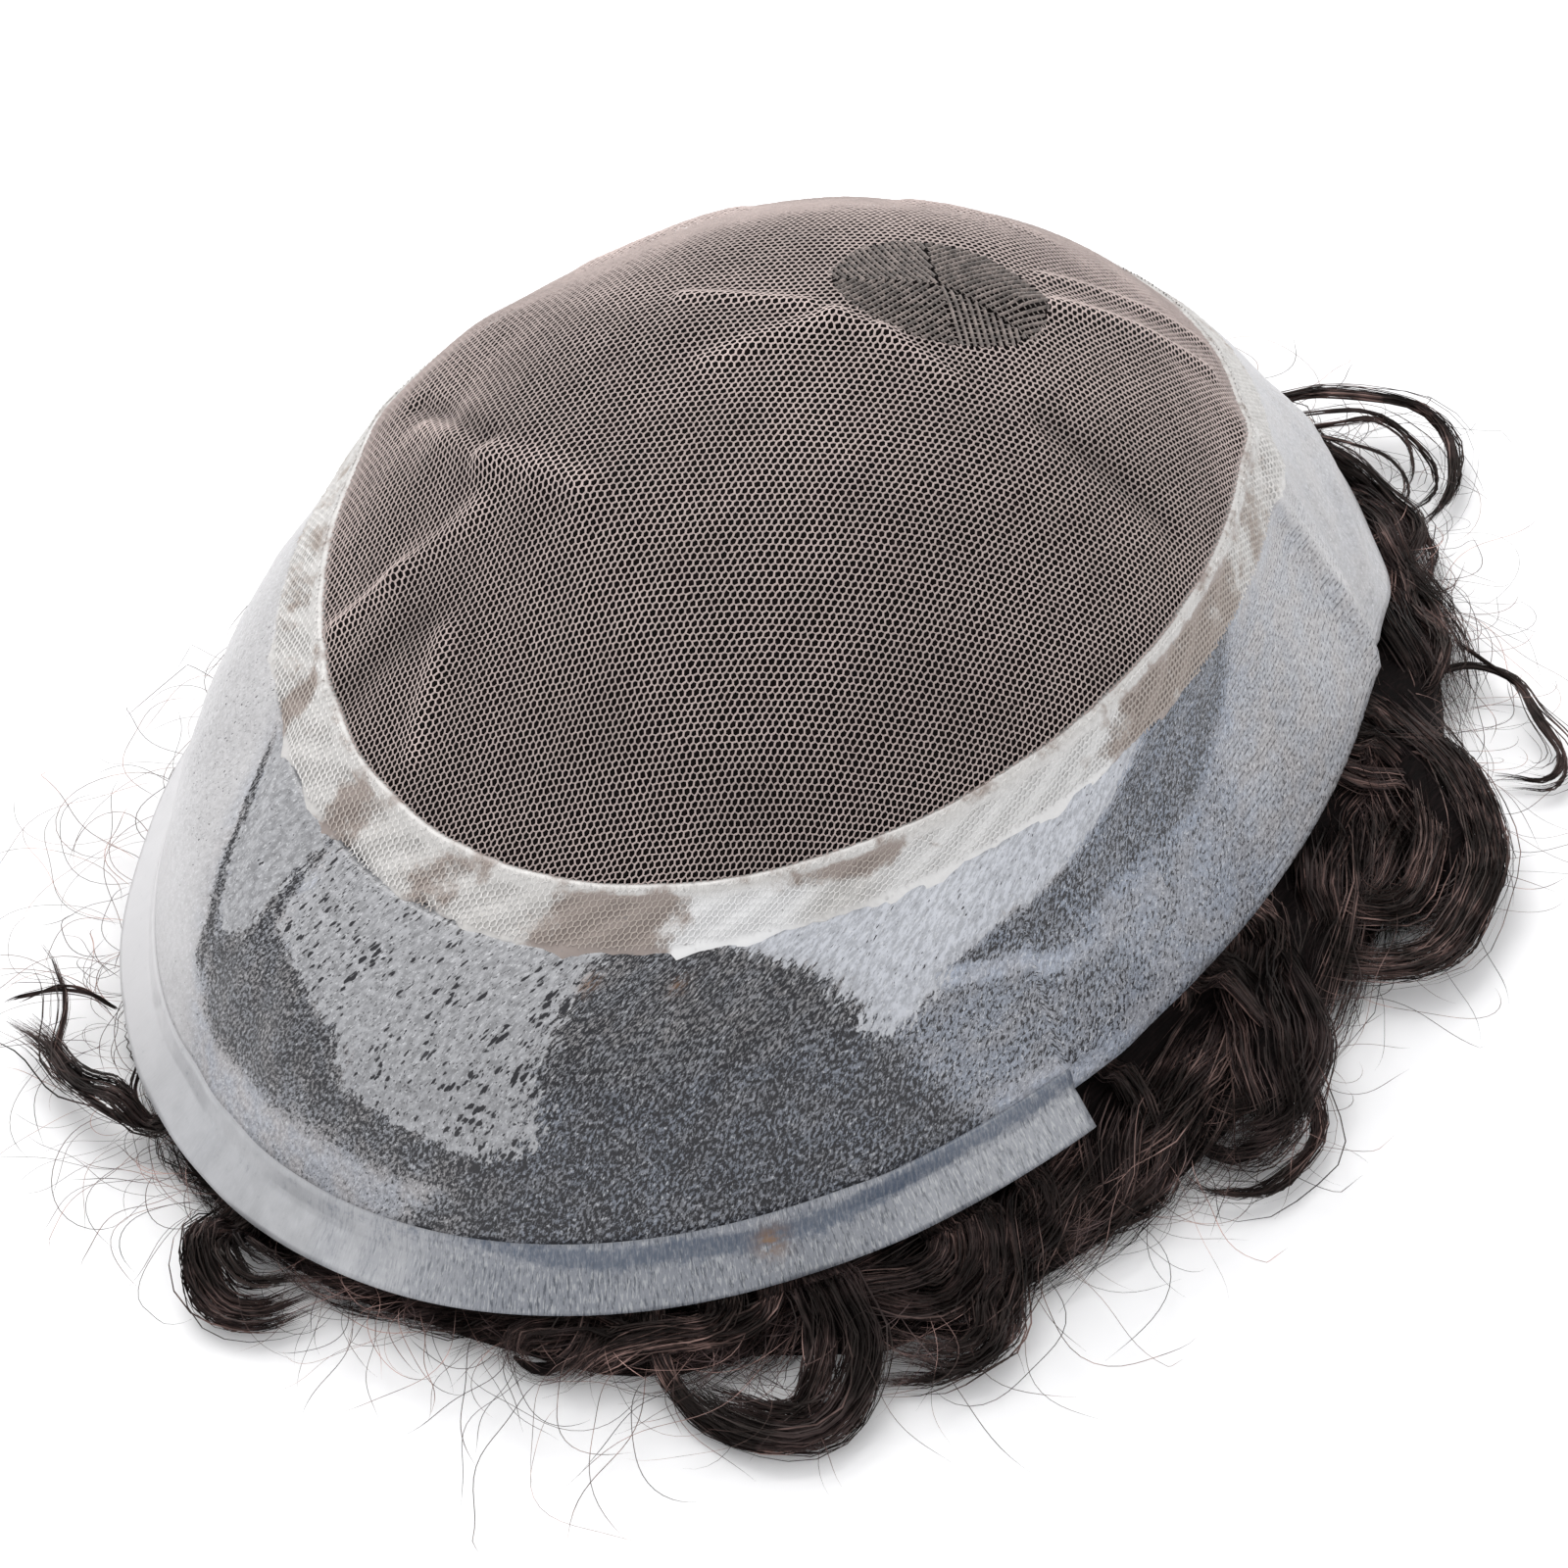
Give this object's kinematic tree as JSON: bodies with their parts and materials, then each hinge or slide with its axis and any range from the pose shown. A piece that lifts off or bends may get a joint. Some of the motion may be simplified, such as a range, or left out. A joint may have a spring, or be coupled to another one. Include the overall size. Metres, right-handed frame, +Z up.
{
  "type": "toupee hairpiece",
  "caption": "Oval hairpiece base of fine net with a clear film skirt and front strip, lying scalp side up on its own dark wavy hair.",
  "frame": {"origin": "on the table, under the middle of the whole hairpiece", "axes": "+Z up, scalp side of the base up; -Y towards the front hairline, +Y towards the back; X across the head"},
  "size_m": [0.1584, 0.2214, 0.0843],
  "materials": {
    "net": "fine hexagonal lace thread, beige grey, matte",
    "crown_rows": "net packed with rows of knotted roots",
    "coated_net": "net under a clear glossy coating",
    "clear_film": "thin glossy film over dark hair roots, silvery with milky patches",
    "strip_film": "smooth clear film with fine hair lines",
    "hair": "near-black brown human hair, soft sheen"
  },
  "bodies": {
    "root": {"centre_net": "net", "crown_patch": "crown_rows", "coated_net_band": "coated_net", "poly_skirt": "clear_film", "front_strip": "strip_film", "crown_hair": "hair", "rim_hair": "hair"}
  },
  "joints": []
}
